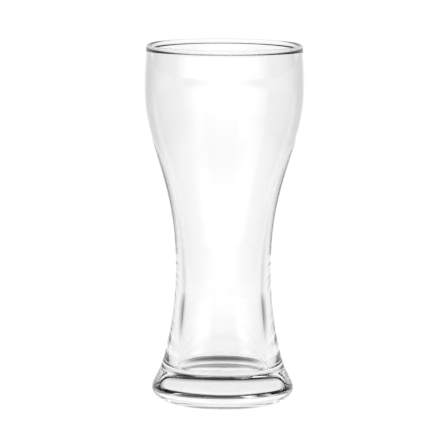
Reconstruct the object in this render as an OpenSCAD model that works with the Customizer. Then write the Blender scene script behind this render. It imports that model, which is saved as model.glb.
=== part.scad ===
// Footed pilsner glass: a heavy pressed foot, a blown wall with a drawn-in waist and
// a rounded rim bead, fused one on top of the other.
// The glass is round about Z. The origin is on the table under the middle of the foot.

/* [Overall] */
// Height from the table to the top of the rim
total_height = 180; // [150:0.5:210]

/* [Rim] */
// Outside diameter of the wall, carried up to the top of the rim
rim_diameter = 77.8; // [66:0.1:88]
// Diameter of the rounded bead seen in section
bead_diameter = 2.3; // [1.9:0.1:3]
// Thickness of the wall where it carries the bead
rim_wall = 1.5; // [1.2:0.1:1.8]

/* [Bowl] */
// Largest outside diameter of the bowl
bowl_diameter = 80.2; // [68:0.1:92]
// Height of the lip, from the largest diameter up to the top of the rim
lip_height = 21.2; // [12:0.1:32]
// Thickness of the wall at the largest diameter
bowl_wall = 1.5; // [1.2:0.1:2.5]

/* [Waist] */
// Smallest outside diameter
waist_diameter = 47.6; // [42:0.1:56]
// Height of the smallest outside diameter
waist_height = 68.1; // [58:0.1:80]
// Thickness at the waist: the smallest outside radius less the smallest inside radius
waist_wall = 4.45; // [2:0.05:6]
// Height of the smallest inside diameter
throat_height = 57; // [48:0.5:66]

/* [Foot] */
// Largest diameter of the foot
heel_diameter = 70.9; // [64:0.1:80]
// Height of the largest diameter of the foot
heel_height = 7.2; // [5:0.1:11]
// Outside diameter at the fused joint between foot and wall
ankle_diameter = 62.5; // [56:0.1:66]
// Thickness of the wall at the top of that joint
ankle_wall = 8.1; // [6:0.05:11]
// Diameter of the hollow under the foot
hollow_diameter = 44.6; // [34:0.1:48]
// Depth of the hollow
hollow_depth = 1.7; // [0.5:0.05:3]
// Width of the rounded step at the edge of the hollow
step_width = 1.05; // [0.8:0.05:5]
// Width of the flat ring round the hollow that rests on the table
ring_width = 0.7; // [0.6:0.1:4]

/* [Floor] */
// Height of the inside floor where it meets its rounded corner
floor_height = 16.9; // [14:0.1:20]
// How far the floor dips in the middle
floor_dip = 2.25; // [0:0.05:5]
// Thickness of the wall's own floor under the dip, down to the fused joint
floor_wall = 1.5; // [1:0.1:4]
// Height of the rounded corner between floor and wall
corner_height = 0.75; // [0.4:0.05:3]
// Width of the rounded corner
corner_width = 2.9; // [1.5:0.1:8]

/* [Hidden] */
// Colour of the clear glass
glass_colour = [0.86, 0.91, 0.92, 0.4];

// Steps along each curve of the outline
curve_steps = 14;
// Fragments of a full turn
$fn = 128;

// Slopes, as change of radius for each unit of height
ankle_slope_share = -0.327;
inside_slope_share = -0.11;

// How far each curve follows its end direction, as a share of its height or reach
heel_under_share = 0.674;
heel_side_share = 0.34;
foot_rise_share = 0.38;
foot_ankle_share = 0.146;
shank_ankle_share = 0.124;
shank_waist_share = 0.506;
bowl_waist_share = 0.502;
bowl_top_share = 0.328;
inside_floor_share = 0.19;
inside_shank_share = 0.3;
inside_throat_share = 0.55;
inside_bowl_share = 0.35;
corner_wall_share = 0.59;
corner_floor_share = 0.81;
step_top_share = 0.55;
step_foot_share = 0.2;
step_low_share = 0.25;

// Radii
rim_r = rim_diameter / 2;
bead_r = bead_diameter / 2;
bowl_r = bowl_diameter / 2;
waist_r = waist_diameter / 2;
throat_r = waist_r - waist_wall;
heel_r = heel_diameter / 2;
ankle_r = ankle_diameter / 2;
hollow_r = hollow_diameter / 2;
hollow_flat_r = hollow_r - step_width;
ring_r = hollow_r + ring_width;
floor_r = ankle_r - ankle_wall;
floor_edge_r = floor_r - corner_width;

// Heights of the top and bottom of the foot's joint, of the rim's joint, of the largest
// diameter and of the middle of the bead
joint_height = floor_height + corner_height;
seat_height = floor_height - floor_dip - floor_wall;
neck_height = total_height - bead_diameter;
bowl_height = total_height - lip_height;
bead_height = total_height - bead_r;

// Curve from a to d that sets out towards b and arrives from c
function curve(a, b, c, d) = [
    for (i = [0:curve_steps])
        let (t = i / curve_steps, s = 1 - t)
            s * s * s * a + 3 * s * s * t * b + 3 * s * t * t * c + t * t * t * d
];

// Points without the first, to join one curve to the end of another
function tail(points) = [for (i = [1:len(points) - 1]) points[i]];

// The same points in the opposite order
function turned(points) = [for (i = [len(points) - 1:-1:0]) points[i]];

// Outside radius of the bowl from its largest diameter up to the rim: a parabola
function lip_r(z) = bowl_r - (bowl_r - rim_r) * pow((z - bowl_height) / lip_height, 2);

// Thickness of the wall over the same stretch
function lip_wall(z) = bowl_wall + (rim_wall - bowl_wall) * (z - bowl_height) / (neck_height - bowl_height);

// Heights along that stretch
function lip_heights() = [
    for (i = [0:curve_steps]) bowl_height + (neck_height - bowl_height) * i / curve_steps
];

// Underside of the foot: flat in the hollow, then a rounded step down to the resting ring
function hollow_points() = concat(
    [[0, hollow_depth]],
    curve(
        [hollow_flat_r, hollow_depth],
        [hollow_flat_r + step_width * step_top_share, hollow_depth],
        [hollow_r - step_width * step_foot_share, hollow_depth * step_low_share],
        [hollow_r, 0]
    )
);

// Outside of the foot, from the resting ring round the heel and up to the ankle
function foot_side() = concat(
    curve(
        [ring_r, 0],
        [ring_r + (heel_r - ring_r) * heel_under_share, 0],
        [heel_r, heel_height * (1 - heel_side_share)],
        [heel_r, heel_height]
    ),
    tail(curve(
        [heel_r, heel_height],
        [heel_r, heel_height + (joint_height - heel_height) * foot_rise_share],
        [ankle_r, joint_height] - (joint_height - heel_height) * foot_ankle_share * [ankle_slope_share, 1],
        [ankle_r, joint_height]
    ))
);

// Fused joint of foot and wall, from the ankle down a cone and in along a flat seat to the axis
function seat_points() = [[ankle_r, joint_height], [floor_r, seat_height], [0, seat_height]];

// Inside floor of the wall, from the shank down the rounded corner and in to the middle, which is
// a parabolic dish
function floor_side() = concat(
    curve(
        [floor_r, joint_height],
        [floor_r, joint_height] - corner_height * corner_wall_share * [inside_slope_share, 1],
        [floor_edge_r + corner_width * corner_floor_share, floor_height],
        [floor_edge_r, floor_height]
    ),
    [
        for (i = [curve_steps - 1:-1:0])
            let (share = i / curve_steps)
                [floor_edge_r * share, floor_height - floor_dip * (1 - share * share)]
    ]
);

// Outside of the wall, from the ankle in to the waist, out to the bowl and up to the neck
function wall_outside() = concat(
    curve(
        [ankle_r, joint_height],
        [ankle_r, joint_height] + (waist_height - joint_height) * shank_ankle_share * [ankle_slope_share, 1],
        [waist_r, waist_height - (waist_height - joint_height) * shank_waist_share],
        [waist_r, waist_height]
    ),
    tail(curve(
        [waist_r, waist_height],
        [waist_r, waist_height + (bowl_height - waist_height) * bowl_waist_share],
        [bowl_r, bowl_height - (bowl_height - waist_height) * bowl_top_share],
        [bowl_r, bowl_height]
    )),
    tail([for (z = lip_heights()) [lip_r(z), z]])
);

// Inside of the wall, from the floor corner in to the throat, out to the bowl and up to the neck
function wall_inside() = concat(
    curve(
        [floor_r, joint_height],
        [floor_r, joint_height]
            + (throat_height - joint_height) * inside_floor_share * [inside_slope_share, 1],
        [throat_r, throat_height - (throat_height - joint_height) * inside_shank_share],
        [throat_r, throat_height]
    ),
    tail(curve(
        [throat_r, throat_height],
        [throat_r, throat_height + (bowl_height - throat_height) * inside_throat_share],
        [bowl_r - bowl_wall, bowl_height - (bowl_height - throat_height) * inside_bowl_share],
        [bowl_r - bowl_wall, bowl_height]
    )),
    tail([for (z = lip_heights()) [lip_r(z) - lip_wall(z), z]])
);

// Heavy base: rounded heel, shallow hollow underneath and a seat on top that the wall is fused into
module foot() {
    color(glass_colour)
        rotate_extrude()
            polygon(concat(hollow_points(), foot_side(), tail(seat_points())));
}

// Blown wall between the two fused joints, closed below by its own dished floor
module wall() {
    color(glass_colour)
        rotate_extrude()
            polygon(concat(
                turned(seat_points()),
                tail(wall_outside()),
                turned(wall_inside()),
                tail(floor_side())
            ));
}

// Rounded lip: a full round flush with the outside, on a short web as thick as the wall
module rim_bead() {
    color(glass_colour)
        rotate_extrude()
            union() {
                translate([lip_r(bead_height) - bead_r, bead_height])
                    circle(r = bead_r);
                polygon([
                    [lip_r(neck_height) - rim_wall, neck_height],
                    [lip_r(neck_height), neck_height],
                    [lip_r(bead_height), bead_height],
                    [lip_r(bead_height) - rim_wall, bead_height]
                ]);
            }
}

foot();
wall();
rim_bead();
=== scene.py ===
"""Studio picture of a clear footed pilsner glass on a pale light table.

The glass is dressed as three closed pieces, the foot, the wall and the rim bead, that
are fused into one another: where two pieces meet, both faces are fully see-through, so
light passes from one to the next as through one body of glass.
"""

import logging
import math
from dataclasses import dataclass, field
from enum import Enum

import bpy
import numpy as np
from mathutils import Matrix, Vector


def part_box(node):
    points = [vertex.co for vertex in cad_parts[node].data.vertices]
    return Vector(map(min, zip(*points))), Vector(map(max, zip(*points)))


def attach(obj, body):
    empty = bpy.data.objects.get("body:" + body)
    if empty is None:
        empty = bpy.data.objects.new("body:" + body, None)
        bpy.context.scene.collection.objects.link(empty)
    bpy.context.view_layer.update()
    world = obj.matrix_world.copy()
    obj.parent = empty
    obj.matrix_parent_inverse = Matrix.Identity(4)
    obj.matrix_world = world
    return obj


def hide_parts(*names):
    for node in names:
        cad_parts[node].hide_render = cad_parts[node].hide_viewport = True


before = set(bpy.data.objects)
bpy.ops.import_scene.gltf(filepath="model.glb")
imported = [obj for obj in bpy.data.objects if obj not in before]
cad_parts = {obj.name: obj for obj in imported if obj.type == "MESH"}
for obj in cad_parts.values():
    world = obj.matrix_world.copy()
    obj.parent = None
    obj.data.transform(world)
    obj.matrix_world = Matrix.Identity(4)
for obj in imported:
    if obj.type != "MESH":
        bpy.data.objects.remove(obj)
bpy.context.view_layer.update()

LOG = logging.getLogger("pilsner_glass")
TURNS = 256
IMAGE_SIDE = 447
SENSOR_MM = 36.0
NodeSocket = bpy.types.NodeSocket

# Faces of glass and mirror images that light is followed through
GLASS_BOUNCES = 32
MIRROR_BOUNCES = 16

# The finer layer of ripples, against the broad one
FINE_RIPPLE_SCALE = 3.0
FINE_RIPPLE_HEIGHT = 0.25
RIPPLE_DETAIL = 1.0

# Octaves of the haze's noise, and the span of it that is spread from clear to hazy
HAZE_DETAIL = 4.0
HAZE_SPAN = (0.45, 0.75)


class Node(Enum):
    """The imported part's nodes."""

    FOOT = "foot"
    WALL = "wall"
    RIM_BEAD = "rim_bead"


class Slot(Enum):
    """The record's material slots, one for each node."""

    FOOT = "foot_glass"
    WALL = "wall_glass"
    RIM_BEAD = "rim_glass"


class Face(Enum):
    """What a strip of a turned surface is: open glass, or a joint fused to the next piece."""

    GLASS = 0
    JOINT = 1


class SocketKind(Enum):
    """Kinds of socket on a shader node group."""

    VECTOR = "NodeSocketVector"
    NUMBER = "NodeSocketFloat"
    COLOUR = "NodeSocketColor"


class Sum(Enum):
    """Sums that a shader's number nodes work out."""

    ABSOLUTE = "ABSOLUTE"
    ADD = "ADD"
    SUBTRACT = "SUBTRACT"
    MULTIPLY = "MULTIPLY"
    MAXIMUM = "MAXIMUM"
    ARCTAN2 = "ARCTAN2"


def curve(start: tuple, towards: tuple, arriving: tuple, end: tuple, steps: int) -> np.ndarray:
    """Cubic curve in the plane of radius and height.

    The weights of the four points are the terms of (s + t) cubed, with s = 1 - t.

    Args:
        start: First point (radius, height).
        towards: Point that the curve sets out for.
        arriving: Point that the curve comes from at its end.
        end: Last point.
        steps: Number of equal steps of t from 0 to 1.

    Returns:
        Points as an array of steps + 1 rows.
    """
    t = np.linspace(0.0, 1.0, steps + 1)[:, None]
    s = 1.0 - t
    a, b, c, d = (np.asarray(p, float) for p in (start, towards, arriving, end))
    return s**3 * a + 3 * s * s * t * b + 3 * s * t * t * c + t**3 * d


@dataclass
class Strip:
    """A run of points of a turned piece's outline, in counter-clockwise order.

    Args:
        points: Rows of (radius, height).
        face: What the strip's surface is.
    """

    points: np.ndarray
    face: Face = Face.GLASS


def filled_mesh(
    name: str, verts: np.ndarray, corners: np.ndarray, sides: np.ndarray, kinds: np.ndarray
) -> bpy.types.Mesh:
    """Puts whole arrays into a mesh.

    Args:
        name: Name of the mesh.
        verts: Rows of (x, y, z).
        corners: Vertex numbers of the faces, one face after another.
        sides: Number of corners of each face.
        kinds: Value of Face for each face.

    Returns:
        The mesh, smooth but for its joint faces, with material index 0 on glass and 1 on joints.
    """
    mesh = bpy.data.meshes.new(name)
    mesh.vertices.add(len(verts))
    mesh.vertices.foreach_set("co", verts.astype(np.float32).ravel())
    mesh.loops.add(len(corners))
    mesh.loops.foreach_set("vertex_index", corners.astype(np.int32))
    mesh.polygons.add(len(sides))
    starts = np.concatenate([[0], np.cumsum(sides)[:-1]])
    mesh.polygons.foreach_set("loop_start", starts.astype(np.int32))
    mesh.polygons.foreach_set("material_index", kinds.astype(np.int32))
    mesh.polygons.foreach_set("use_smooth", kinds == Face.GLASS.value)
    mesh.update(calc_edges=True)
    mesh.validate()
    return mesh


def turned_mesh(name: str, strips: list[Strip], closed: bool) -> bpy.types.Mesh:
    """Turns an outline about Z.

    A point (r, z) of the outline at turn angle a becomes (r cos a, r sin a, z). A closed
    outline makes a ring, and an open one starts and ends on the axis, where each end is
    one point with a fan of triangles.

    Args:
        name: Name of the mesh.
        strips: Runs of the outline; each starts at the last point of the one before.
        closed: True where the outline's end joins its start.

    Returns:
        The mesh, with each strip's kind on its faces.
    """
    points = np.vstack([s.points[:-1] for s in strips])
    kinds = np.concatenate([np.full(len(s.points) - 1, s.face.value) for s in strips])
    if not closed:
        points = np.vstack([points, strips[-1].points[-1:]])
    rows = points if closed else points[1:-1]
    angle = np.linspace(0.0, 2.0 * math.pi, TURNS, endpoint=False)
    r, z = rows[:, :1], rows[:, 1:]
    x, y = r * np.cos(angle), r * np.sin(angle)
    verts = np.stack([x, y, np.broadcast_to(z, x.shape)], -1).reshape(-1, 3)
    count = len(rows)
    i = np.arange(count if closed else count - 1)[:, None]
    j = np.arange(TURNS)[None, :]
    up, side = (i + 1) % count, (j + 1) % TURNS
    quads = np.stack([i * TURNS + j, i * TURNS + side, up * TURNS + side, up * TURNS + j], -1)
    corners = quads.ravel()
    sides = np.full(len(i) * TURNS, 4)
    face_kinds = np.repeat(kinds if closed else kinds[1:-1], TURNS)
    if not closed:
        first, last = len(verts), len(verts) + 1
        verts = np.vstack([verts, (0.0, 0.0, points[0, 1]), (0.0, 0.0, points[-1, 1])])
        around = np.arange(TURNS)
        following = (around + 1) % TURNS
        top = (count - 1) * TURNS
        low_fan = np.stack([np.full(TURNS, first), following, around], -1)
        high_fan = np.stack([np.full(TURNS, last), top + around, top + following], -1)
        corners = np.concatenate([corners, low_fan.ravel(), high_fan.ravel()])
        sides = np.concatenate([sides, np.full(2 * TURNS, 3)])
        face_kinds = np.concatenate([face_kinds, np.repeat(kinds[[0, -1]], TURNS)])
    return filled_mesh(name, verts, corners, sides, face_kinds)


def radians(degrees: tuple) -> tuple:
    """Turns a span of degrees into radians."""
    return tuple(math.radians(d) for d in degrees)


def sines(degrees: tuple) -> tuple:
    """Turns a span of elevations in degrees into heights on a sphere of radius 1."""
    return tuple(math.sin(math.radians(d)) for d in degrees)


def aimed(place: Vector, target: Vector) -> Matrix:
    """Turns something that looks down its own Z at a place, so that it looks at a target.

    Args:
        place: Where it stands.
        target: Point that it looks at.

    Returns:
        Its matrix in the world.
    """
    look = (target - place).to_track_quat("-Z", "Y")
    return Matrix.Translation(place) @ look.to_matrix().to_4x4()


def socketed_group(
    name: str, inputs: dict[str, SocketKind], outputs: dict[str, SocketKind]
) -> tuple[bpy.types.NodeTree, bpy.types.Node, bpy.types.Node]:
    """Makes an empty shader node group with named sockets.

    Args:
        name: Name of the group.
        inputs: Kind of socket for each input's name.
        outputs: Kind of socket for each output's name.

    Returns:
        The group, its input node and its output node.
    """
    group = bpy.data.node_groups.new(name, "ShaderNodeTree")
    for in_out, sockets in (("INPUT", inputs), ("OUTPUT", outputs)):
        for label, kind in sockets.items():
            group.interface.new_socket(label, in_out=in_out, socket_type=kind.value)
    return group, group.nodes.new("NodeGroupInput"), group.nodes.new("NodeGroupOutput")


def ripple_group() -> bpy.types.NodeTree:
    """Slow swells that a mould or a flame leaves in glass, made once and shared by every glass.

    Two layers of noise, one broad and one three times finer at a quarter of the height.

    Returns:
        The group, with Vector and Scale in and Height out.
    """
    name = "molten_ripple"
    if name in bpy.data.node_groups:
        return bpy.data.node_groups[name]
    inputs = {"Vector": SocketKind.VECTOR, "Scale": SocketKind.NUMBER}
    group, source, sink = socketed_group(name, inputs, {"Height": SocketKind.NUMBER})
    nodes, links = group.nodes, group.links
    broad, fine = nodes.new("ShaderNodeTexNoise"), nodes.new("ShaderNodeTexNoise")
    finer, add = nodes.new("ShaderNodeMath"), nodes.new("ShaderNodeMath")
    finer.operation, finer.inputs[1].default_value = "MULTIPLY", FINE_RIPPLE_SCALE
    add.operation, add.inputs[1].default_value = "MULTIPLY_ADD", FINE_RIPPLE_HEIGHT
    for noise in (broad, fine):
        noise.inputs["Detail"].default_value = RIPPLE_DETAIL
        links.new(source.outputs["Vector"], noise.inputs["Vector"])
    links.new(source.outputs["Scale"], broad.inputs["Scale"])
    links.new(source.outputs["Scale"], finer.inputs[0])
    links.new(finer.outputs[0], fine.inputs["Scale"])
    links.new(fine.outputs[0], add.inputs[0])
    links.new(broad.outputs[0], add.inputs[2])
    links.new(add.outputs[0], sink.inputs["Height"])
    return group


def haze_group() -> bpy.types.NodeTree:
    """Faint wiping haze on polished glass, made once and shared by every glass.

    Cloudy noise, spread between the two given amounts.

    Returns:
        The group, with Vector, Scale, Clear and Hazy in and Roughness out.
    """
    name = "wiping_haze"
    if name in bpy.data.node_groups:
        return bpy.data.node_groups[name]
    amounts = {label: SocketKind.NUMBER for label in ("Scale", "Clear", "Hazy")}
    inputs = {"Vector": SocketKind.VECTOR, **amounts}
    group, source, sink = socketed_group(name, inputs, {"Roughness": SocketKind.NUMBER})
    nodes, links = group.nodes, group.links
    noise, spread = nodes.new("ShaderNodeTexNoise"), nodes.new("ShaderNodeMapRange")
    noise.inputs["Detail"].default_value = HAZE_DETAIL
    spread.inputs["From Min"].default_value, spread.inputs["From Max"].default_value = HAZE_SPAN
    links.new(source.outputs["Vector"], noise.inputs["Vector"])
    links.new(source.outputs["Scale"], noise.inputs["Scale"])
    links.new(noise.outputs[0], spread.inputs["Value"])
    links.new(source.outputs["Clear"], spread.inputs["To Min"])
    links.new(source.outputs["Hazy"], spread.inputs["To Max"])
    links.new(spread.outputs[0], sink.inputs["Roughness"])
    return group


def tint_group() -> bpy.types.NodeTree:
    """Streaks of slightly greyer glass from the melt, made once and shared by every glass.

    Noise mixes two tints.

    Returns:
        The group, with Vector, Scale, Clear and Streak in and Color out.
    """
    name = "melt_streaks"
    if name in bpy.data.node_groups:
        return bpy.data.node_groups[name]
    tints = {label: SocketKind.COLOUR for label in ("Clear", "Streak")}
    inputs = {"Vector": SocketKind.VECTOR, "Scale": SocketKind.NUMBER, **tints}
    group, source, sink = socketed_group(name, inputs, {"Color": SocketKind.COLOUR})
    nodes, links = group.nodes, group.links
    noise, mix = nodes.new("ShaderNodeTexNoise"), nodes.new("ShaderNodeMix")
    mix.data_type = "RGBA"
    links.new(source.outputs["Vector"], noise.inputs["Vector"])
    links.new(source.outputs["Scale"], noise.inputs["Scale"])
    links.new(noise.outputs[0], mix.inputs["Factor"])
    links.new(source.outputs["Clear"], mix.inputs["A"])
    links.new(source.outputs["Streak"], mix.inputs["B"])
    links.new(mix.outputs["Result"], sink.inputs["Color"])
    return group


@dataclass(frozen=True)
class GlassFinish:
    """Clear soda-lime glass as one forming step leaves it.

    Args:
        name: Name of the material.
        clear: Tint of the clear glass.
        streak: Tint of its streaks.
        stretch: Length of a ripple or streak round the glass for each unit along it.
        ripple_scale: Ripples in a metre.
        ripple_height: Height of the ripples in metres.
        haze: Least and most roughness.
        haze_scale: Clouds of haze in a metre.
        refraction: Refractive index.
    """

    name: str
    clear: tuple = (0.995, 0.997, 0.996, 1.0)
    streak: tuple = (0.985, 0.99, 0.988, 1.0)
    stretch: float = 1.0
    ripple_scale: float = 30.0
    ripple_height: float = 0.0001
    haze: tuple = (0.0, 0.01)
    haze_scale: float = 60.0
    refraction: float = 1.52

    def material(self) -> bpy.types.Material:
        """Builds the material.

        Returns:
            A see-through glass with streaked tint, cloudy roughness and rippled normals.
        """
        made = bpy.data.materials.new(self.name)
        made.use_nodes = True
        nodes, links = made.node_tree.nodes, made.node_tree.links
        shader = nodes["Principled BSDF"]
        shader.inputs["Metallic"].default_value = 0.0
        shader.inputs["Transmission Weight"].default_value = 1.0
        shader.inputs["IOR"].default_value = self.refraction
        place, mapping = nodes.new("ShaderNodeTexCoord"), nodes.new("ShaderNodeMapping")
        mapping.inputs["Scale"].default_value = (1.0, 1.0, self.stretch)
        links.new(place.outputs["Object"], mapping.inputs["Vector"])
        ripple, haze, tint = (nodes.new("ShaderNodeGroup") for _ in range(3))
        ripple.node_tree, haze.node_tree, tint.node_tree = ripple_group(), haze_group(), tint_group()
        for group in (ripple, haze, tint):
            links.new(mapping.outputs["Vector"], group.inputs["Vector"])
        ripple.inputs["Scale"].default_value = self.ripple_scale
        haze.inputs["Scale"].default_value = self.haze_scale
        haze.inputs["Clear"].default_value, haze.inputs["Hazy"].default_value = self.haze
        tint.inputs["Scale"].default_value = self.ripple_scale
        tint.inputs["Clear"].default_value = self.clear
        tint.inputs["Streak"].default_value = self.streak
        bump = nodes.new("ShaderNodeBump")
        bump.inputs["Distance"].default_value = self.ripple_height
        links.new(ripple.outputs["Height"], bump.inputs["Height"])
        links.new(bump.outputs["Normal"], shader.inputs["Normal"])
        links.new(haze.outputs["Roughness"], shader.inputs["Roughness"])
        links.new(tint.outputs["Color"], shader.inputs["Base Color"])
        return made


@dataclass(frozen=True)
class FusedJoint:
    """Face inside the glass where two pieces are fused: light passes it unbent and it isn't seen.

    Args:
        name: Name of the material.
    """

    name: str = "fused_joint"

    def material(self) -> bpy.types.Material:
        """Builds the material, or finds it where another piece has it.

        Returns:
            A fully see-through surface.
        """
        if self.name in bpy.data.materials:
            return bpy.data.materials[self.name]
        made = bpy.data.materials.new(self.name)
        made.use_nodes = True
        made.node_tree.nodes["Principled BSDF"].inputs["Alpha"].default_value = 0.0
        return made


@dataclass
class Section:
    """Sizes that neighbouring pieces share, in metres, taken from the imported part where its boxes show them.

    Args:
        heel_r: Largest radius of the foot.
        joint_z: Height of the ankle, the top of the joint between foot and wall.
        seat_z: Height of the flat of that joint.
        bowl_r: Largest radius of the bowl.
        neck_z: Height of the joint between wall and rim bead.
        total_z: Height of the glass.
        ankle_r: Outside radius at the ankle.
        ankle_slope: Change of that radius for each unit of height.
        floor_r: Inside radius at the ankle.
        floor_slope: Change of that radius for each unit of height.
        rim_r: Outside radius of the wall, carried up to the top of the rim.
        rim_wall: Thickness of the wall at the neck.
        lip_height: Height of the lip, from the bowl's largest radius to the top.
    """

    heel_r: float = field(default_factory=lambda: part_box(Node.FOOT.value)[1].x)
    joint_z: float = field(default_factory=lambda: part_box(Node.FOOT.value)[1].z)
    seat_z: float = field(default_factory=lambda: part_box(Node.WALL.value)[0].z)
    bowl_r: float = field(default_factory=lambda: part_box(Node.WALL.value)[1].x)
    neck_z: float = field(default_factory=lambda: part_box(Node.WALL.value)[1].z)
    total_z: float = field(default_factory=lambda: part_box(Node.RIM_BEAD.value)[1].z)
    ankle_r: float = 0.03125
    ankle_slope: float = -0.327
    floor_r: float = 0.02315
    floor_slope: float = -0.11
    rim_r: float = 0.0389
    rim_wall: float = 0.0015
    lip_height: float = 0.0212

    @property
    def seat(self) -> np.ndarray:
        """Fused joint of foot and wall: from the ankle down a cone, then in along a flat to the axis."""
        return np.array([(self.ankle_r, self.joint_z), (self.floor_r, self.seat_z), (0.0, self.seat_z)])

    @property
    def bowl_z(self) -> float:
        """Height of the largest diameter."""
        return self.total_z - self.lip_height

    def lip_r(self, z: np.ndarray | float) -> np.ndarray | float:
        """Outside radius above the largest diameter: a parabola that reaches the rim's radius at the top."""
        return self.bowl_r - (self.bowl_r - self.rim_r) * ((z - self.bowl_z) / self.lip_height) ** 2


@dataclass
class TurnedPiece:
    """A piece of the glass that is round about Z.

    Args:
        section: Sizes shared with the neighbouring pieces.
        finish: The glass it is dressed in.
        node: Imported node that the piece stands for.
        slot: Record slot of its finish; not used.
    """

    section: Section
    finish: GlassFinish
    node: Node
    slot: Slot

    def strips(self) -> list[Strip]:
        """Gives the outline's strips; each piece has its own."""
        raise NotImplementedError

    @property
    def is_ring(self) -> bool:
        """True where the outline closes on itself away from the axis."""
        return True

    def build(self) -> bpy.types.Object:
        """Builds the piece in its place.

        Returns:
            The object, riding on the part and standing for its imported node.
        """
        name = f"{self.node.value}_glass_piece"
        piece = bpy.data.objects.new(name, turned_mesh(name, self.strips(), self.is_ring))
        bpy.context.scene.collection.objects.link(piece)
        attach(piece, "root")
        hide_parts(self.node.value)
        return piece

    def dress(self, piece: bpy.types.Object) -> None:
        """Gives the piece its glass and its fused joints.

        Args:
            piece: The object that build made.
        """
        piece.data.materials.append(self.finish.material())
        piece.data.materials.append(FusedJoint().material())


@dataclass
class Foot(TurnedPiece):
    """Heavy base: a flat hollow underneath, a round heel and a seat that the wall is fused into.

    Lengths are in metres, and each share says where a curve's guide point stands.

    Args:
        heel_z: Height of the largest diameter.
        hollow_r: Radius of the hollow.
        hollow_depth: Depth of the hollow.
        step_width: Width of the rounded step at the hollow's edge.
        ring_width: Width of the flat ring that rests on the table.
        heel_under: Share of the heel's reach that its curve sets out level.
        heel_side: Share of the heel's height that it arrives upright.
        foot_rise: Share of the height over the heel that the upper curve sets out upright.
        foot_ankle: Share of that height that it arrives along the ankle's slope.
        step_top: Share of the step's width that its curve sets out level.
        step_foot: Share of the step's width that its last guide point stands in from the edge.
        step_low: Share of the hollow's depth at which that point stands.
        hollow_rows: Rows of faces across the hollow.
        step_rows: Rows down the step.
        ring_rows: Rows across the ring.
        heel_rows: Rows round the heel.
        ankle_rows: Rows from the heel up to the ankle.
    """

    heel_z: float = 0.0072
    hollow_r: float = 0.0223
    hollow_depth: float = 0.0017
    step_width: float = 0.00105
    ring_width: float = 0.0007
    heel_under: float = 0.674
    heel_side: float = 0.34
    foot_rise: float = 0.38
    foot_ankle: float = 0.146
    step_top: float = 0.55
    step_foot: float = 0.2
    step_low: float = 0.25
    hollow_rows: int = 8
    step_rows: int = 40
    ring_rows: int = 8
    heel_rows: int = 70
    ankle_rows: int = 60

    @property
    def is_ring(self) -> bool:
        """The foot is solid, so its outline starts and ends on the axis."""
        return False

    def underside(self) -> np.ndarray:
        """Flat hollow, a cubic step down at its edge, then the flat ring.

        The ring's rows go by the square of their number, so they lie closer towards the step.

        Returns:
            Points from the axis out to the edge of the ring.
        """
        flat_r, deep = self.hollow_r - self.step_width, self.hollow_depth
        across = np.linspace(0.0, flat_r, self.hollow_rows + 1)[:-1]
        hollow = np.c_[across, np.full_like(across, deep)]
        step = curve(
            (flat_r, deep),
            (flat_r + self.step_width * self.step_top, deep),
            (self.hollow_r - self.step_width * self.step_foot, deep * self.step_low),
            (self.hollow_r, 0.0),
            self.step_rows,
        )
        share = np.linspace(0.0, 1.0, self.ring_rows + 1)[1:]
        ring = np.c_[self.hollow_r + self.ring_width * share**2, np.zeros_like(share)]
        return np.vstack([hollow, step, ring])

    def side(self) -> np.ndarray:
        """Heel and ankle: two cubic curves that meet upright at the largest diameter.

        Returns:
            Points from the edge of the ring up to the ankle.
        """
        s, ring_r = self.section, self.hollow_r + self.ring_width
        rise = s.joint_z - self.heel_z
        back = rise * self.foot_ankle
        heel = curve(
            (ring_r, 0.0),
            (ring_r + (s.heel_r - ring_r) * self.heel_under, 0.0),
            (s.heel_r, self.heel_z * (1 - self.heel_side)),
            (s.heel_r, self.heel_z),
            self.heel_rows,
        )
        ankle = curve(
            (s.heel_r, self.heel_z),
            (s.heel_r, self.heel_z + rise * self.foot_rise),
            (s.ankle_r - back * s.ankle_slope, s.joint_z - back),
            (s.ankle_r, s.joint_z),
            self.ankle_rows,
        )
        return np.vstack([heel, ankle[1:]])

    def strips(self) -> list[Strip]:
        """Underside and side, then the fused joint to the wall."""
        skin = np.vstack([self.underside(), self.side()[1:]])
        return [Strip(skin), Strip(self.section.seat, Face.JOINT)]


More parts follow.
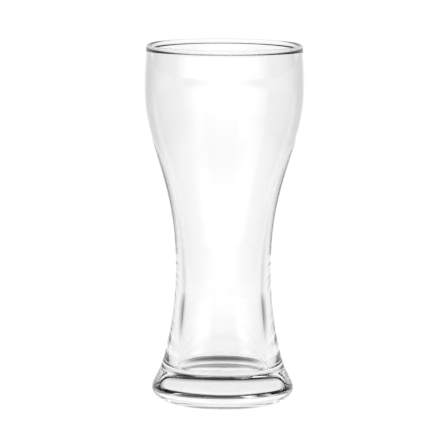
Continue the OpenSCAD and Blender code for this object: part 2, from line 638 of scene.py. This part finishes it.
@dataclass
class Wall(TurnedPiece):
    """Blown wall: its own dished floor, shank, drawn-in waist, wide bowl and lip, open at the top.

    Lengths are in metres, and each share says where a curve's guide point stands.

    Args:
        waist_r: Smallest outside radius.
        waist_z: Height of the smallest outside radius.
        throat_r: Smallest inside radius.
        throat_z: Height of the smallest inside radius.
        bowl_wall: Thickness at the largest diameter.
        shank_ankle: Share of the shank's height that its outside sets out along the ankle's slope.
        shank_waist: Share of it that the outside arrives upright.
        bowl_waist: Share of the bowl's height that its outside sets out upright.
        bowl_top: Share of it that the outside arrives upright.
        inside_floor: Share of the shank's height that its inside sets out along its slope.
        inside_shank: Share of it that the inside arrives upright.
        inside_throat: Share of the bowl's height that its inside sets out upright.
        inside_bowl: Share of it that the inside arrives upright.
        floor_z: Height of the floor where it meets its rounded corner.
        floor_dip: How far the floor dips in the middle.
        corner_width: Width of the rounded corner.
        corner_wall: Share of the corner's height that it sets out along the wall.
        corner_floor: Share of the corner's width that it arrives level.
        shank_rows: Rows of faces up the shank, on each side.
        bowl_rows: Rows up the bowl, on each side.
        lip_rows: Rows up the lip, on each side.
        corner_rows: Rows round the corner.
        dish_rows: Rows across the floor.
    """

    waist_r: float = 0.0238
    waist_z: float = 0.0681
    throat_r: float = 0.01935
    throat_z: float = 0.057
    bowl_wall: float = 0.0015
    shank_ankle: float = 0.124
    shank_waist: float = 0.506
    bowl_waist: float = 0.502
    bowl_top: float = 0.328
    inside_floor: float = 0.19
    inside_shank: float = 0.3
    inside_throat: float = 0.55
    inside_bowl: float = 0.35
    floor_z: float = 0.0169
    floor_dip: float = 0.00225
    corner_width: float = 0.0029
    corner_wall: float = 0.59
    corner_floor: float = 0.81
    shank_rows: int = 48
    bowl_rows: int = 56
    lip_rows: int = 16
    corner_rows: int = 40
    dish_rows: int = 40

    @property
    def is_ring(self) -> bool:
        """The wall is closed below, so its outline starts and ends on the axis."""
        return False

    @property
    def lip_z(self) -> np.ndarray:
        """Heights of the lip's rows, from the first above the largest diameter up to the neck."""
        return np.linspace(self.section.bowl_z, self.section.neck_z, self.lip_rows + 1)[1:]

    def outside(self) -> np.ndarray:
        """Two cubic curves that meet upright at the waist, then the lip's parabola.

        Returns:
            Points from the ankle up to the neck.
        """
        s, z = self.section, self.lip_z
        shank_h, bowl_h = self.waist_z - s.joint_z, s.bowl_z - self.waist_z
        lead = shank_h * self.shank_ankle
        shank = curve(
            (s.ankle_r, s.joint_z),
            (s.ankle_r + lead * s.ankle_slope, s.joint_z + lead),
            (self.waist_r, self.waist_z - shank_h * self.shank_waist),
            (self.waist_r, self.waist_z),
            self.shank_rows,
        )
        bowl = curve(
            (self.waist_r, self.waist_z),
            (self.waist_r, self.waist_z + bowl_h * self.bowl_waist),
            (s.bowl_r, s.bowl_z - bowl_h * self.bowl_top),
            (s.bowl_r, s.bowl_z),
            self.bowl_rows,
        )
        return np.vstack([shank, bowl[1:], np.c_[s.lip_r(z), z]])

    def inside(self) -> np.ndarray:
        """The same run inside: two cubic curves, then the parabola less the wall's thickness.

        The thickness goes evenly from the bowl's to the rim's.

        Returns:
            Points from the neck down to the floor's corner.
        """
        s, z = self.section, self.lip_z
        shank_h, bowl_h = self.throat_z - s.joint_z, s.bowl_z - self.throat_z
        bowl_r = s.bowl_r - self.bowl_wall
        lead = shank_h * self.inside_floor
        shank = curve(
            (s.floor_r, s.joint_z),
            (s.floor_r + lead * s.floor_slope, s.joint_z + lead),
            (self.throat_r, self.throat_z - shank_h * self.inside_shank),
            (self.throat_r, self.throat_z),
            self.shank_rows,
        )
        bowl = curve(
            (self.throat_r, self.throat_z),
            (self.throat_r, self.throat_z + bowl_h * self.inside_throat),
            (bowl_r, s.bowl_z - bowl_h * self.inside_bowl),
            (bowl_r, s.bowl_z),
            self.bowl_rows,
        )
        thick = self.bowl_wall + (s.rim_wall - self.bowl_wall) * (z - s.bowl_z) / (s.neck_z - s.bowl_z)
        return np.vstack([shank, bowl[1:], np.c_[s.lip_r(z) - thick, z]])[::-1]

    def floor(self) -> np.ndarray:
        """Rounded corner, a cubic curve, then the dished floor.

        The floor lies lower by its dip times one less the squared share of its radius.

        Returns:
            Points from the corner's top down and in to the axis.
        """
        s = self.section
        edge_r, height = s.floor_r - self.corner_width, s.joint_z - self.floor_z
        hold = height * self.corner_wall
        corner = curve(
            (s.floor_r, s.joint_z),
            (s.floor_r - hold * s.floor_slope, s.joint_z - hold),
            (edge_r + self.corner_width * self.corner_floor, self.floor_z),
            (edge_r, self.floor_z),
            self.corner_rows,
        )
        share = np.linspace(1.0, 0.0, self.dish_rows + 1)[1:]
        dish = np.c_[edge_r * share, self.floor_z - self.floor_dip * (1 - share**2)]
        return np.vstack([corner, dish])

    def strips(self) -> list[Strip]:
        """Puts the outline together, from the axis under the floor round to the axis on top of it.

        Returns:
            Fused joint to the foot, outside, fused joint to the bead, and inside with the floor.
        """
        outside, inside = self.outside(), np.vstack([self.inside(), self.floor()[1:]])
        seat = Strip(self.section.seat[::-1], Face.JOINT)
        neck = Strip(np.vstack([outside[-1], inside[0]]), Face.JOINT)
        return [seat, Strip(outside), neck, Strip(inside)]


@dataclass
class RimBead(TurnedPiece):
    """Rounded lip: a full round, flush with the outside, that runs down into the wall.

    Args:
        web_rows: Rows of faces up the outside, below the round.
        arc_points: Points round the bead.
    """

    web_rows: int = 5
    arc_points: int = 60

    def strips(self) -> list[Strip]:
        """Puts the outline together: up the outside, then an arc over the top and down inside.

        The arc ends where it meets the inside of the wall, carried up.

        Returns:
            The skin and the fused joint to the wall.
        """
        s = self.section
        bead_r = (s.total_z - s.neck_z) / 2
        middle_z = s.total_z - bead_r
        outer_r = float(s.lip_r(middle_z))
        middle_r = outer_r - bead_r
        foot_out = np.array([float(s.lip_r(s.neck_z)), s.neck_z])
        foot_in = np.array([foot_out[0] - s.rim_wall, s.neck_z])
        web = outer_r - s.rim_wall - middle_r
        last = 2 * math.pi - math.acos(web / bead_r)
        turn = np.linspace(0.0, last, self.arc_points)
        arc = np.c_[middle_r + bead_r * np.cos(turn), middle_z + bead_r * np.sin(turn)]
        rise = np.linspace(0.0, 1.0, self.web_rows + 1)[:-1, None]
        outside = foot_out + rise * (arc[0] - foot_out)
        skin = np.vstack([outside, arc, foot_in])
        return [Strip(skin), Strip(np.vstack([foot_in, foot_out]), Face.JOINT)]


@dataclass
class LightSums:
    """Works out how light is spread, with number nodes in one shader tree.

    Args:
        tree: The tree that the nodes are added to.
    """

    tree: bpy.types.NodeTree

    def split(self, place: NodeSocket) -> tuple[NodeSocket, ...]:
        """Splits a place or a direction into its axes.

        Args:
            place: Socket of the place or direction.

        Returns:
            The sockets of x, y and z.
        """
        axes = self.tree.nodes.new("ShaderNodeSeparateXYZ")
        self.tree.links.new(place, axes.inputs[0])
        return tuple(axes.outputs)

    def length(self, place: NodeSocket) -> NodeSocket:
        """Measures how far a place is from the origin.

        Args:
            place: Socket of the place.

        Returns:
            The socket of the distance.
        """
        node = self.tree.nodes.new("ShaderNodeVectorMath")
        node.operation = "LENGTH"
        self.tree.links.new(place, node.inputs[0])
        return node.outputs["Value"]

    def step(self, value: NodeSocket, span: tuple, ends: tuple) -> NodeSocket:
        """Adds a smooth step between two levels.

        Args:
            value: Socket that is measured.
            span: Values at which the step starts and ends.
            ends: Levels before and after it.

        Returns:
            The socket of the level.
        """
        node = self.tree.nodes.new("ShaderNodeMapRange")
        node.interpolation_type = "SMOOTHSTEP"
        node.inputs["From Min"].default_value, node.inputs["From Max"].default_value = span
        node.inputs["To Min"].default_value, node.inputs["To Max"].default_value = ends
        self.tree.links.new(value, node.inputs["Value"])
        return node.outputs["Result"]

    def absolute(self, value: NodeSocket) -> NodeSocket:
        """Takes a value without its sign.

        Args:
            value: Socket of the value.

        Returns:
            The socket of its size.
        """
        node = self.tree.nodes.new("ShaderNodeMath")
        node.operation = Sum.ABSOLUTE.value
        self.tree.links.new(value, node.inputs[0])
        return node.outputs[0]

    def combine(self, operation: Sum, first: NodeSocket, *others: NodeSocket | float) -> NodeSocket:
        """Combines a value with others, one after another.

        Args:
            operation: How each is combined with the result so far.
            first: Socket of the first value.
            others: Sockets or numbers that follow.

        Returns:
            The socket of the last result.
        """
        result = first
        for other in others:
            node = self.tree.nodes.new("ShaderNodeMath")
            node.operation = operation.value
            self.tree.links.new(result, node.inputs[0])
            if isinstance(other, float):
                node.inputs[1].default_value = other
            else:
                self.tree.links.new(other, node.inputs[1])
            result = node.outputs[0]
        return result


@dataclass(frozen=True)
class TableFinish:
    """Pale light table, lit from below: bright round the glass, behind it and in front of it, with the foot's
    shadows painted into its light.

    Args:
        surface: Colour of the surface itself, dim so that its own light sets the tone.
        roughness: Roughness of the surface.
        bright: Light given off beside the glass.
        side: Share of the light left at the sides, away from the glass.
        strip: Half widths beside the glass at which the bright strip starts and ends its fall, in metres.
        widen: Metres that the strip widens on each side for each metre behind or in front of the glass.
        fan: Azimuths in degrees off the back over which the light falls to the side.
        front: Azimuths over which it comes back towards the camera.
        front_share: Share of the light in front.
        painted_contact_shadow: Share of the light left in the shadow painted where the foot's ring meets the
            table.
        painted_contact_shadow_in: Radii over which that painted shadow sets in, in metres.
        painted_contact_shadow_out: Radii over which it clears.
        painted_heel_shadow: Share of the light left in the heel's shadow, painted on the table behind the
            glass.
        painted_heel_shadow_in: Radii over which that painted shadow sets in, in metres.
        painted_heel_shadow_out: Radii over which it clears.
        painted_heel_shadow_side: Half widths over which it clears towards the sides.
        painted_heel_shadow_back: Distances behind the axis over which it sets in.
        painted_wake_shadow: Share of the light left in the softer shadow painted behind that.
        painted_wake_shadow_in: Distances behind the axis over which it sets in, in metres.
        painted_wake_shadow_out: Distances over which it clears.
        painted_wake_shadow_side: Half widths over which it clears towards the sides.
    """

    surface: tuple = (0.1, 0.1, 0.1, 1.0)
    roughness: float = 0.9
    bright: float = 1.0
    side: float = 0.26
    strip: tuple = (0.118, 0.41)
    widen: float = 0.05
    fan: tuple = (2.0, 56.0)
    front: tuple = (108.0, 172.0)
    front_share: float = 1.08
    painted_contact_shadow: float = 0.5
    painted_contact_shadow_in: tuple = (0.0185, 0.0215)
    painted_contact_shadow_out: tuple = (0.0238, 0.0262)
    painted_heel_shadow: float = 0.1
    painted_heel_shadow_in: tuple = (0.026, 0.036)
    painted_heel_shadow_out: tuple = (0.042, 0.056)
    painted_heel_shadow_side: tuple = (0.018, 0.031)
    painted_heel_shadow_back: tuple = (0.0, 0.01)
    painted_wake_shadow: float = 0.85
    painted_wake_shadow_in: tuple = (0.03, 0.05)
    painted_wake_shadow_out: tuple = (0.06, 0.4)
    painted_wake_shadow_side: tuple = (0.012, 0.024)

    def material(self) -> bpy.types.Material:
        """Builds the material.

        Returns:
            A pale surface whose light is the glow times the share that the painted shadows leave.
        """
        made = bpy.data.materials.new("pale_light_table")
        made.use_nodes = True
        nodes, links = made.node_tree.nodes, made.node_tree.links
        shader = nodes["Principled BSDF"]
        shader.inputs["Base Color"].default_value = self.surface
        shader.inputs["Roughness"].default_value = self.roughness
        shader.inputs["Specular IOR Level"].default_value = 0.0
        shader.inputs["Emission Strength"].default_value = self.bright
        sums = LightSums(made.node_tree)
        place = nodes.new("ShaderNodeTexCoord").outputs["Object"]
        x, y, _ = sums.split(place)
        sideways = sums.absolute(x)
        glow = self.glow(sums, sideways, y)
        # Share of the light left by the shadows painted into the table's glow
        clear = self.clear(sums, sideways, y, sums.length(place))
        grey = nodes.new("ShaderNodeCombineColor")
        light = sums.combine(Sum.MULTIPLY, glow, clear)
        for socket in grey.inputs[:3]:
            links.new(light, socket)
        links.new(grey.outputs[0], shader.inputs["Emission Color"])
        return made

    def glow(self, sums: LightSums, sideways: NodeSocket, y: NodeSocket) -> NodeSocket:
        """Spreads the light: the brightest of the strip, the fan behind and the front.

        Args:
            sums: Sums of the material's tree.
            sideways: Distance to the side.
            y: Distance behind the axis.

        Returns:
            The light before any shadow.
        """
        widening = sums.combine(Sum.MULTIPLY, sums.absolute(y), self.widen)
        beside = sums.combine(Sum.SUBTRACT, sideways, widening)
        strip = sums.step(beside, self.strip, (1.0, 0.0))
        turn = sums.combine(Sum.ARCTAN2, sideways, y)
        fan = sums.step(turn, radians(self.fan), (1.0, self.side))
        front = sums.step(turn, radians(self.front), (0.0, self.front_share))
        return sums.combine(Sum.MAXIMUM, strip, fan, front)

    def clear(self, sums: LightSums, sideways: NodeSocket, y: NodeSocket, radius: NodeSocket) -> NodeSocket:
        """Takes the painted shadows off the light: one, less the three shadows painted into the table's glow,
        behind the heel, softer behind that, and round the foot's ring.

        Each painted shadow is a product of smooth steps.

        Args:
            sums: Sums of the material's tree.
            sideways: Distance to the side.
            y: Distance behind the axis.
            radius: Distance from the axis.

        Returns:
            The share of the light that the painted shadows leave.
        """
        # Shadow of the heel painted on the table behind the glass
        heel = sums.combine(
            Sum.MULTIPLY,
            sums.step(radius, self.painted_heel_shadow_in, (0.0, 1.0)),
            sums.step(radius, self.painted_heel_shadow_out, (1.0, 0.0)),
            sums.step(sideways, self.painted_heel_shadow_side, (1.0, 0.0)),
            sums.step(y, self.painted_heel_shadow_back, (0.0, self.painted_heel_shadow - 1.0)),
        )
        # Softer shadow painted on the table further behind the glass
        painted_wake_shadow = sums.combine(
            Sum.MULTIPLY,
            sums.step(y, self.painted_wake_shadow_out, (self.painted_wake_shadow - 1.0, 0.0)),
            sums.step(sideways, self.painted_wake_shadow_side, (1.0, 0.0)),
            sums.step(y, self.painted_wake_shadow_in, (0.0, 1.0)),
        )
        # Shadow painted round the foot's ring where it meets the table
        painted_contact_shadow = sums.combine(
            Sum.MULTIPLY,
            sums.step(radius, self.painted_contact_shadow_in, (0.0, self.painted_contact_shadow - 1.0)),
            sums.step(radius, self.painted_contact_shadow_out, (1.0, 0.0)),
        )
        return sums.combine(Sum.ADD, heel, 1.0, painted_wake_shadow, painted_contact_shadow)


@dataclass
class Softbox:
    """A soft light that hangs beside the glass and faces it.

    Args:
        name: Name of the light.
        azimuth: Degrees round from the camera, to the right.
        distance: Metres from the axis.
        height: Height of its middle in metres.
        size: Width and height in metres.
        radiance: Light that its middle gives off.
        layers: Sizes of the panes that make it up, as shares of its size; the smaller ones
            lie over the larger, so its light fades towards the edge.
        aim_z: Height on the axis that it faces.
    """

    name: str
    azimuth: float
    distance: float
    height: float
    size: tuple
    radiance: float
    layers: tuple = (1.35, 1.15, 0.95, 0.75, 0.55)
    aim_z: float = 0.05

    def build(self) -> None:
        """Hangs the light, pane by pane."""
        a = math.radians(self.azimuth)
        place = Vector((math.sin(a) * self.distance, -math.cos(a) * self.distance, self.height))
        stand = aimed(place, Vector((0.0, 0.0, self.aim_z)))
        for share in self.layers:
            lamp = bpy.data.lights.new(self.name, "AREA")
            lamp.shape = "RECTANGLE"
            lamp.size, lamp.size_y = (side * share for side in self.size)
            lamp.energy = self.radiance / len(self.layers) * math.pi * lamp.size * lamp.size_y
            pane = bpy.data.objects.new(self.name, lamp)
            pane.matrix_world = stand
            bpy.context.scene.collection.objects.link(pane)


@dataclass
class Studio:
    """Light table, softboxes, and a dim room with a glowing wall and panel behind and a low glow in front.

    Args:
        table: Finish of the light table.
        boxes: Softboxes round the glass.
        table_reach: Metres that the table reaches each way.
        table_cells: Cells of its grid along each side.
        table_drop: Metres that it lies under the glass, so that the two don't share a face.
        room_light: Light of the room.
        wall_light: Light of the wall behind.
        wall_rise: Elevations in degrees over which the wall fades upwards.
        wall_spread: Azimuths in degrees off the back over which it fades sideways.
        front_light: Light low in front.
        front_rise: Elevations over which it fades upwards.
        front_spread: Azimuths over which it sets in.
        panel_light: Light of the panel that hangs behind, above the wall.
        panel_rise: Elevations over which the panel starts.
        panel_end: Elevations over which it ends.
    """

    table: TableFinish
    boxes: list[Softbox]
    table_reach: float = 6.0
    table_cells: int = 24
    table_drop: float = 0.0002
    room_light: float = 0.01
    wall_light: float = 0.9
    wall_rise: tuple = (18.0, 29.0)
    wall_spread: tuple = (43.0, 60.0)
    front_light: float = 1.35
    front_rise: tuple = (4.0, 40.0)
    front_spread: tuple = (105.0, 132.0)
    panel_light: float = 0.16
    panel_rise: tuple = (44.0, 53.0)
    panel_end: tuple = (66.0, 76.0)

    def build(self) -> None:
        """Builds the table, the room and the lights."""
        self.lay_table()
        self.light_room()
        for box in self.boxes:
            box.build()

    def lay_table(self) -> None:
        """Lays the table: a flat square grid, with equal steps along x and y."""
        line = np.linspace(-self.table_reach, self.table_reach, self.table_cells + 1)
        x, y = np.meshgrid(line, line, indexing="ij")
        verts = np.stack([x, y, np.full_like(x, -self.table_drop)], -1).reshape(-1, 3)
        cell = np.arange(self.table_cells)
        first = (cell[:, None] * len(line) + cell).ravel()
        beside = first + len(line)
        faces = np.stack([first, beside, beside + 1, first + 1], -1)
        mesh = bpy.data.meshes.new("light_table")
        mesh.from_pydata(verts.tolist(), [], faces.tolist())
        mesh.materials.append(self.table.material())
        table = bpy.data.objects.new("light_table", mesh)
        bpy.context.scene.collection.objects.link(table)

    def light_room(self) -> None:
        """Lights the room: wall, panel and front, each faded by elevation and by azimuth off the back."""
        world = bpy.data.worlds.new("dim_studio")
        bpy.context.scene.world = world
        world.use_nodes = True
        nodes = world.node_tree.nodes
        back = nodes["Background"]
        back.inputs["Color"].default_value = (1.0, 1.0, 1.0, 1.0)
        sums = LightSums(world.node_tree)
        x, y, rise = sums.split(nodes.new("ShaderNodeTexCoord").outputs["Generated"])
        turn = sums.absolute(sums.combine(Sum.ARCTAN2, x, y))
        wall = sums.step(rise, sines(self.wall_rise), (self.wall_light, 0.0))
        panel = sums.combine(
            Sum.MULTIPLY,
            sums.step(rise, sines(self.panel_rise), (0.0, self.panel_light)),
            sums.step(rise, sines(self.panel_end), (1.0, 0.0)),
        )
        aback = sums.step(turn, radians(self.wall_spread), (1.0, 0.0))
        behind = sums.combine(Sum.MULTIPLY, sums.combine(Sum.ADD, wall, panel), aback)
        front = sums.combine(
            Sum.MULTIPLY,
            sums.step(turn, radians(self.front_spread), (0.0, 1.0)),
            sums.step(rise, sines(self.front_rise), (self.front_light, 0.0)),
        )
        light = sums.combine(Sum.ADD, behind, front, self.room_light)
        world.node_tree.links.new(light, back.inputs["Strength"])


@dataclass
class ProductCamera:
    """The photo's camera: a long lens a little above the rim.

    Args:
        distance: Metres in front of the glass.
        height: Metres above the table.
        focal_px: Focal length in pixels of the picture.
        aim_z: Height on the axis at the middle of the picture.
        roll: Degrees by which the picture leans.
        clip: Nearest and farthest distance that it sees, in metres.
    """

    distance: float = 2.4
    height: float = 0.376
    focal_px: float = 4825.0
    aim_z: float = 0.0901
    roll: float = 0.35
    clip: tuple = (0.05, 100.0)

    def build(self) -> None:
        """Sets the camera up and makes it the scene's."""
        lens = bpy.data.cameras.new("product_camera")
        lens.sensor_fit = "HORIZONTAL"
        lens.sensor_width = SENSOR_MM
        lens.lens = self.focal_px * SENSOR_MM / IMAGE_SIDE
        lens.clip_start, lens.clip_end = self.clip
        lens.dof.use_dof = False
        camera = bpy.data.objects.new("product_camera", lens)
        stand = aimed(Vector((0.0, -self.distance, self.height)), Vector((0.0, 0.0, self.aim_z)))
        camera.matrix_world = stand @ Matrix.Rotation(math.radians(self.roll), 4, "Z")
        bpy.context.scene.collection.objects.link(camera)
        bpy.context.scene.camera = camera


def set_light_paths() -> None:
    """Lets light cross every face of the thick foot, and shows the picture's tones as they are."""
    scene = bpy.context.scene
    scene.cycles.max_bounces = GLASS_BOUNCES
    scene.cycles.transmission_bounces = GLASS_BOUNCES
    scene.cycles.glossy_bounces = MIRROR_BOUNCES
    scene.cycles.transparent_max_bounces = GLASS_BOUNCES
    scene.view_settings.view_transform = "Standard"
    scene.view_settings.look = "None"


def studio() -> Studio:
    """Sets out the studio's lights.

    Returns:
        The studio, not built yet.
    """
    left = Softbox(
        "left_softbox", azimuth=-48.0, distance=1.4, height=0.5, size=(0.9, 0.55), radiance=2.6
    )
    right = Softbox(
        "right_softbox", azimuth=42.0, distance=1.6, height=0.55, size=(0.36, 0.55), radiance=1.8
    )
    high_left = Softbox(
        "high_left_softbox",
        azimuth=-90.0,
        distance=0.87,
        height=1.39,
        size=(0.9, 0.45),
        radiance=1.6,
        layers=(1.0,),
    )
    return Studio(TableFinish(), [left, right, high_left])


def glass_pieces() -> list[TurnedPiece]:
    """Sets out the glass's pieces, each in the finish of its forming step.

    Returns:
        The pieces from the table up, not built yet.
    """
    pressed = GlassFinish("pressed_foot_glass", ripple_scale=45.0, ripple_height=0.00006)
    blown = GlassFinish("blown_wall_glass", stretch=0.4, ripple_scale=30.0, ripple_height=0.00003)
    # The bead bends light less than real glass and is hazier, because its lines are too dark otherwise
    polished = GlassFinish(
        "fire_polished_rim_glass",
        ripple_scale=60.0,
        ripple_height=0.00001,
        haze=(0.18, 0.26),
        refraction=1.3,
    )
    section = Section()
    return [
        Foot(section, pressed, Node.FOOT, Slot.FOOT),
        Wall(section, blown, Node.WALL, Slot.WALL),
        RimBead(section, polished, Node.RIM_BEAD, Slot.RIM_BEAD),
    ]


def main() -> None:
    """Builds the studio and the glass, piece by piece."""
    logging.basicConfig(level=logging.INFO, format="%(name)s: %(message)s")
    ProductCamera().build()
    studio().build()
    for maker in glass_pieces():
        piece = maker.build()
        maker.dress(piece)
        LOG.info("%s stands for %s, %d faces", piece.name, maker.node.value, len(piece.data.polygons))
    set_light_paths()


if __name__ == "__main__":
    main()
